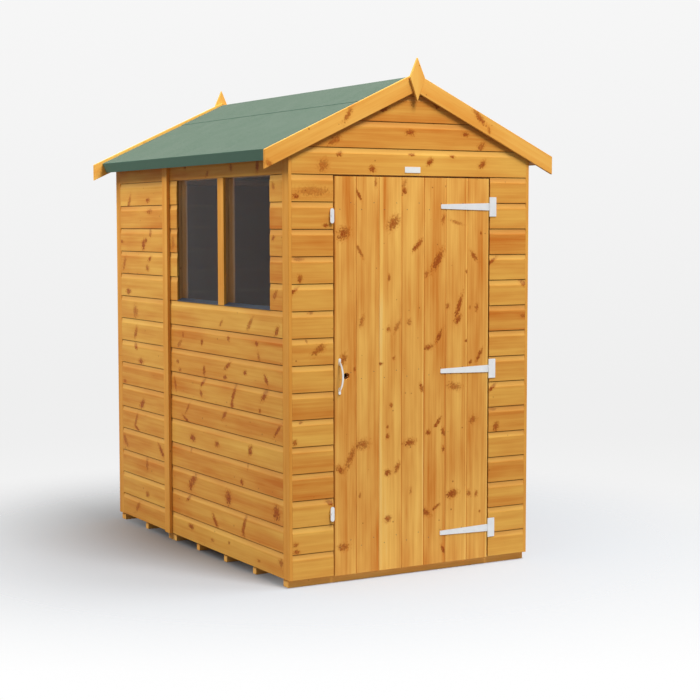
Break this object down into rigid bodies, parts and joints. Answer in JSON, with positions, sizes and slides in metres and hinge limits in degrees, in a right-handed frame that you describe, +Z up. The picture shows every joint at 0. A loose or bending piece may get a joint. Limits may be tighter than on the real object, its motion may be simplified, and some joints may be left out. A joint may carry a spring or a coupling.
{
  "type": "apex shed",
  "caption": "Small boarded garden shed with an apex felt roof, barge boards and finials, a fixed side window and a ledged door on strap hinges.",
  "frame": {"origin": "on the ground, under the middle of the whole shed, roof overhangs included", "axes": "+Z up; -Y towards the front gable with the door; +X to the right, seen from the front"},
  "size_m": [1.434, 1.932, 2.2022],
  "materials": {
    "dipped_boarding": "planed softwood, dip-treated honey brown",
    "framing_timber": "planed softwood framing, dip-treated",
    "plain_boarding": "planed floor and roof boards",
    "mineral_felt": "green mineral roofing felt",
    "window_glazing": "clear glazing sheet",
    "sill_strip": "dark extruded strip",
    "zinc_fittings": "bright zinc-plated steel"
  },
  "bodies": {
    "shed": {"floor_bearers": "framing_timber", "floor_boards": "plain_boarding", "front_wall_left": "dipped_boarding", "front_wall_right": "dipped_boarding", "front_gable": "dipped_boarding", "back_wall": "dipped_boarding", "left_rear_wall": "dipped_boarding", "left_wall_below_window": "dipped_boarding", "left_wall_beside_window": "dipped_boarding", "left_wall_above_window": "dipped_boarding", "right_front_wall": "dipped_boarding", "right_rear_wall": "dipped_boarding", "front_studs": "framing_timber", "front_rails": "framing_timber", "back_studs": "framing_timber", "back_rails": "framing_timber", "left_studs": "framing_timber", "left_rails": "framing_timber", "right_studs": "framing_timber", "right_rails": "framing_timber", "cover_strips": "dipped_boarding", "window_panes": "window_glazing", "window_mullion": "dipped_boarding", "window_sill_strips": "sill_strip", "left_roof_deck": "plain_boarding", "right_roof_deck": "plain_boarding", "roof_rails": "framing_timber", "left_roof_felt": "mineral_felt", "right_roof_felt": "mineral_felt", "ridge_felt": "mineral_felt", "front_barge_boards": "dipped_boarding", "back_barge_boards": "dipped_boarding", "front_finial": "dipped_boarding", "back_finial": "dipped_boarding", "door_stops": "framing_timber", "hinge_plates": "zinc_fittings", "button_pins": "zinc_fittings"},
    "door": {"door_boards": "dipped_boarding", "door_ledges": "framing_timber", "hinge_straps": "zinc_fittings", "door_handle": "zinc_fittings"},
    "top_button": {"top_turn_button": "zinc_fittings"},
    "bottom_button": {"bottom_turn_button": "zinc_fittings"}
  },
  "joints": [
    {"name": "door_hinge", "type": "hinge", "parent": "shed", "child": "door", "pos_m": [0.39075, -0.939, 0.872], "axis": [0, 0, 1], "range_deg": [0, 170]},
    {"name": "top_button_turn", "type": "hinge", "parent": "shed", "child": "top_button", "pos_m": [-0.4025, -0.9424, 1.539], "axis": [0, 1, 0], "range_deg": [0, 90]},
    {"name": "bottom_button_turn", "type": "hinge", "parent": "shed", "child": "bottom_button", "pos_m": [-0.4025, -0.9424, 0.297], "axis": [0, 1, 0], "range_deg": [0, 90]}
  ]
}
